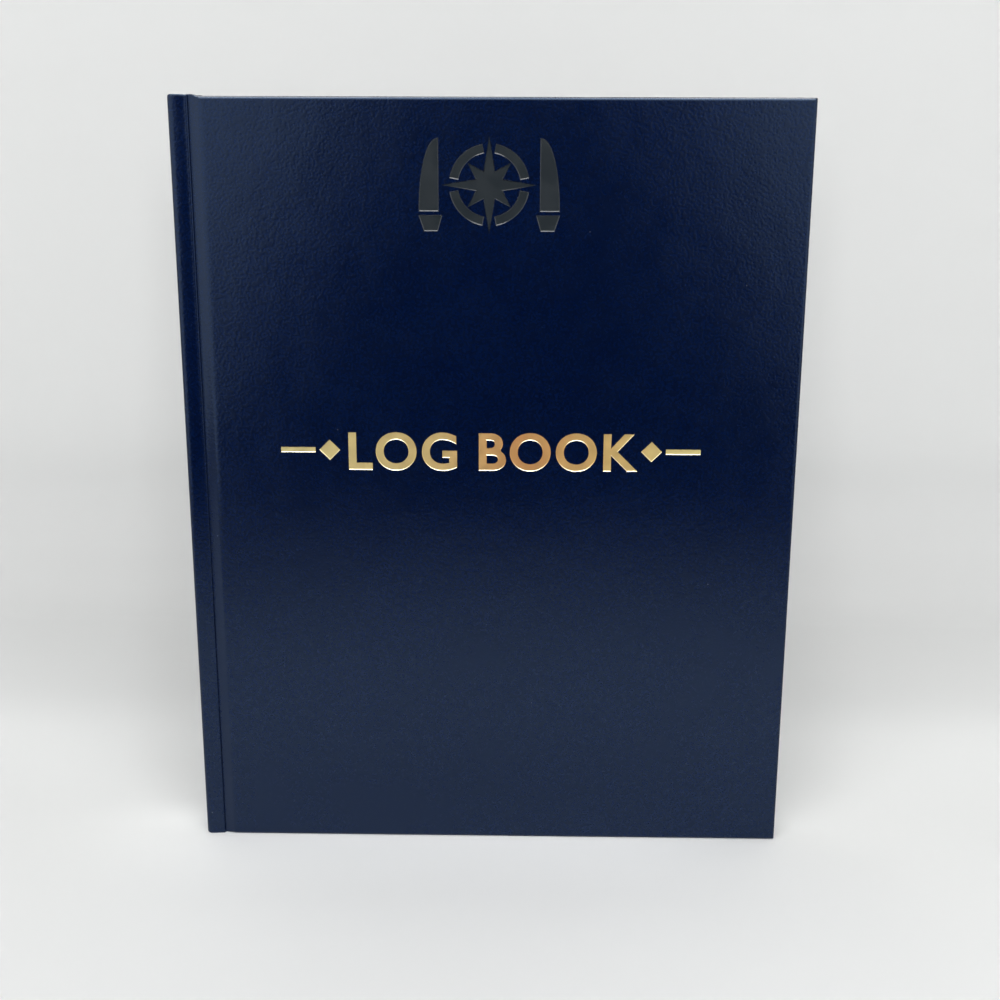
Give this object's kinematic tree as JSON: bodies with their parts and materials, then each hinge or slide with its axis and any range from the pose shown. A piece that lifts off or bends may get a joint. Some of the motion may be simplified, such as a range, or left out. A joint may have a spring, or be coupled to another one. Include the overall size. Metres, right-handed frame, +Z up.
{
  "type": "hardbound logbook",
  "caption": "Case-bound logbook with sewn signatures; both leatherette covers swing open on the spine and the leaves fan with them.",
  "frame": {"origin": "bottom centre of the closed book, on the surface it stands on", "axes": "+Z up the spine, +X from the spine towards the fore edge, the front cover faces -Y"},
  "size_m": [0.19, 0.0136, 0.2385],
  "materials": {
    "leatherette": "navy bookbinder's leatherette, fine pebbled grain, satin gloss",
    "greyboard": "dense grey millboard, matte",
    "endpaper": "heavy off-white paper, matte",
    "page_paper": "off-white writing paper, matte",
    "mull_cloth": "open-weave starched cotton",
    "kraft_paper": "brown kraft paper, matte",
    "band_cloth": "blue and white striped woven band",
    "linen_thread": "waxed linen thread",
    "gold_foil": "hot-stamped gold foil, satin metal",
    "black_foil": "hot-stamped black pigment foil, glossier than the cloth"
  },
  "bodies": {
    "text_block": {"spine_cloth": "leatherette", "spine_board": "greyboard", "spine_lining": "kraft_paper", "spine_mull": "mull_cloth", "head_band": "band_cloth", "tail_band": "band_cloth", "sewing_thread": "linen_thread", "front_endpaper_fold": "endpaper", "back_endpaper_fold": "endpaper", "signature_1_fold": "page_paper", "signature_2_fold": "page_paper", "signature_3_fold": "page_paper", "signature_4_fold": "page_paper", "signature_5_fold": "page_paper", "signature_6_fold": "page_paper"},
    "front_cover": {"front_board": "greyboard", "front_cover_cloth": "leatherette", "front_pastedown": "endpaper", "front_mull_flange": "mull_cloth"},
    "back_cover": {"back_board": "greyboard", "back_cover_cloth": "leatherette", "back_pastedown": "endpaper", "back_mull_flange": "mull_cloth"},
    "front_flyleaf_leaf": {"front_flyleaf": "endpaper"},
    "back_flyleaf_leaf": {"back_flyleaf": "endpaper"},
    "leaf_packet_1": {"signature_1_front_leaves": "page_paper"},
    "leaf_packet_2": {"signature_1_rear_leaves": "page_paper"},
    "leaf_packet_3": {"signature_2_front_leaves": "page_paper"},
    "leaf_packet_4": {"signature_2_rear_leaves": "page_paper"},
    "leaf_packet_5": {"signature_3_front_leaves": "page_paper"},
    "leaf_packet_6": {"signature_3_rear_leaves": "page_paper"},
    "leaf_packet_7": {"signature_4_front_leaves": "page_paper"},
    "leaf_packet_8": {"signature_4_rear_leaves": "page_paper"},
    "leaf_packet_9": {"signature_5_front_leaves": "page_paper"},
    "leaf_packet_10": {"signature_5_rear_leaves": "page_paper"},
    "leaf_packet_11": {"signature_6_front_leaves": "page_paper"},
    "leaf_packet_12": {"signature_6_rear_leaves": "page_paper"}
  },
  "joints": [
    {"name": "front_cover_hinge", "type": "hinge", "parent": "text_block", "child": "front_cover", "pos_m": [-0.0878, -0.00695, 0], "axis": [0, 0, -1], "range_deg": [0, 178]},
    {"name": "back_cover_hinge", "type": "hinge", "parent": "text_block", "child": "back_cover", "pos_m": [-0.0878, 0.00695, 0], "axis": [0, 0, 1], "range_deg": [0, 178]},
    {"name": "front_flyleaf_turn", "type": "hinge", "parent": "text_block", "child": "front_flyleaf_leaf", "pos_m": [-0.0878, -0.00695, 0], "axis": [0, 0, -1], "range_deg": [0, 173]},
    {"name": "leaf_packet_1_turn", "type": "hinge", "parent": "text_block", "child": "leaf_packet_1", "pos_m": [-0.0878, -0.00695, 0], "axis": [0, 0, -1], "range_deg": [0, 160.4]},
    {"name": "leaf_packet_2_turn", "type": "hinge", "parent": "text_block", "child": "leaf_packet_2", "pos_m": [-0.0878, -0.00695, 0], "axis": [0, 0, -1], "range_deg": [0, 144.2]},
    {"name": "leaf_packet_3_turn", "type": "hinge", "parent": "text_block", "child": "leaf_packet_3", "pos_m": [-0.0878, -0.00695, 0], "axis": [0, 0, -1], "range_deg": [0, 124.4]},
    {"name": "leaf_packet_4_turn", "type": "hinge", "parent": "text_block", "child": "leaf_packet_4", "pos_m": [-0.0878, -0.00695, 0], "axis": [0, 0, -1], "range_deg": [0, 101]},
    {"name": "leaf_packet_5_turn", "type": "hinge", "parent": "text_block", "child": "leaf_packet_5", "pos_m": [-0.0878, -0.00695, 0], "axis": [0, 0, -1], "range_deg": [0, 74]},
    {"name": "leaf_packet_6_turn", "type": "hinge", "parent": "text_block", "child": "leaf_packet_6", "pos_m": [-0.0878, -0.00695, 0], "axis": [0, 0, -1], "range_deg": [0, 45.2]},
    {"name": "back_flyleaf_turn", "type": "hinge", "parent": "text_block", "child": "back_flyleaf_leaf", "pos_m": [-0.0878, 0.00695, 0], "axis": [0, 0, 1], "range_deg": [0, 173]},
    {"name": "leaf_packet_12_turn", "type": "hinge", "parent": "text_block", "child": "leaf_packet_12", "pos_m": [-0.0878, 0.00695, 0], "axis": [0, 0, 1], "range_deg": [0, 160.4]},
    {"name": "leaf_packet_11_turn", "type": "hinge", "parent": "text_block", "child": "leaf_packet_11", "pos_m": [-0.0878, 0.00695, 0], "axis": [0, 0, 1], "range_deg": [0, 144.2]},
    {"name": "leaf_packet_10_turn", "type": "hinge", "parent": "text_block", "child": "leaf_packet_10", "pos_m": [-0.0878, 0.00695, 0], "axis": [0, 0, 1], "range_deg": [0, 124.4]},
    {"name": "leaf_packet_9_turn", "type": "hinge", "parent": "text_block", "child": "leaf_packet_9", "pos_m": [-0.0878, 0.00695, 0], "axis": [0, 0, 1], "range_deg": [0, 101]},
    {"name": "leaf_packet_8_turn", "type": "hinge", "parent": "text_block", "child": "leaf_packet_8", "pos_m": [-0.0878, 0.00695, 0], "axis": [0, 0, 1], "range_deg": [0, 74]},
    {"name": "leaf_packet_7_turn", "type": "hinge", "parent": "text_block", "child": "leaf_packet_7", "pos_m": [-0.0878, 0.00695, 0], "axis": [0, 0, 1], "range_deg": [0, 45.2]}
  ],
  "couplings": [
    {"joint": "front_flyleaf_turn", "follows": "front_cover_hinge", "ratio": 0.95},
    {"joint": "leaf_packet_1_turn", "follows": "front_cover_hinge", "ratio": 0.88},
    {"joint": "leaf_packet_2_turn", "follows": "front_cover_hinge", "ratio": 0.79},
    {"joint": "leaf_packet_3_turn", "follows": "front_cover_hinge", "ratio": 0.68},
    {"joint": "leaf_packet_4_turn", "follows": "front_cover_hinge", "ratio": 0.55},
    {"joint": "leaf_packet_5_turn", "follows": "front_cover_hinge", "ratio": 0.4},
    {"joint": "leaf_packet_6_turn", "follows": "front_cover_hinge", "ratio": 0.24},
    {"joint": "back_flyleaf_turn", "follows": "back_cover_hinge", "ratio": 0.95},
    {"joint": "leaf_packet_12_turn", "follows": "back_cover_hinge", "ratio": 0.88},
    {"joint": "leaf_packet_11_turn", "follows": "back_cover_hinge", "ratio": 0.79},
    {"joint": "leaf_packet_10_turn", "follows": "back_cover_hinge", "ratio": 0.68},
    {"joint": "leaf_packet_9_turn", "follows": "back_cover_hinge", "ratio": 0.55},
    {"joint": "leaf_packet_8_turn", "follows": "back_cover_hinge", "ratio": 0.4},
    {"joint": "leaf_packet_7_turn", "follows": "back_cover_hinge", "ratio": 0.24}
  ]
}
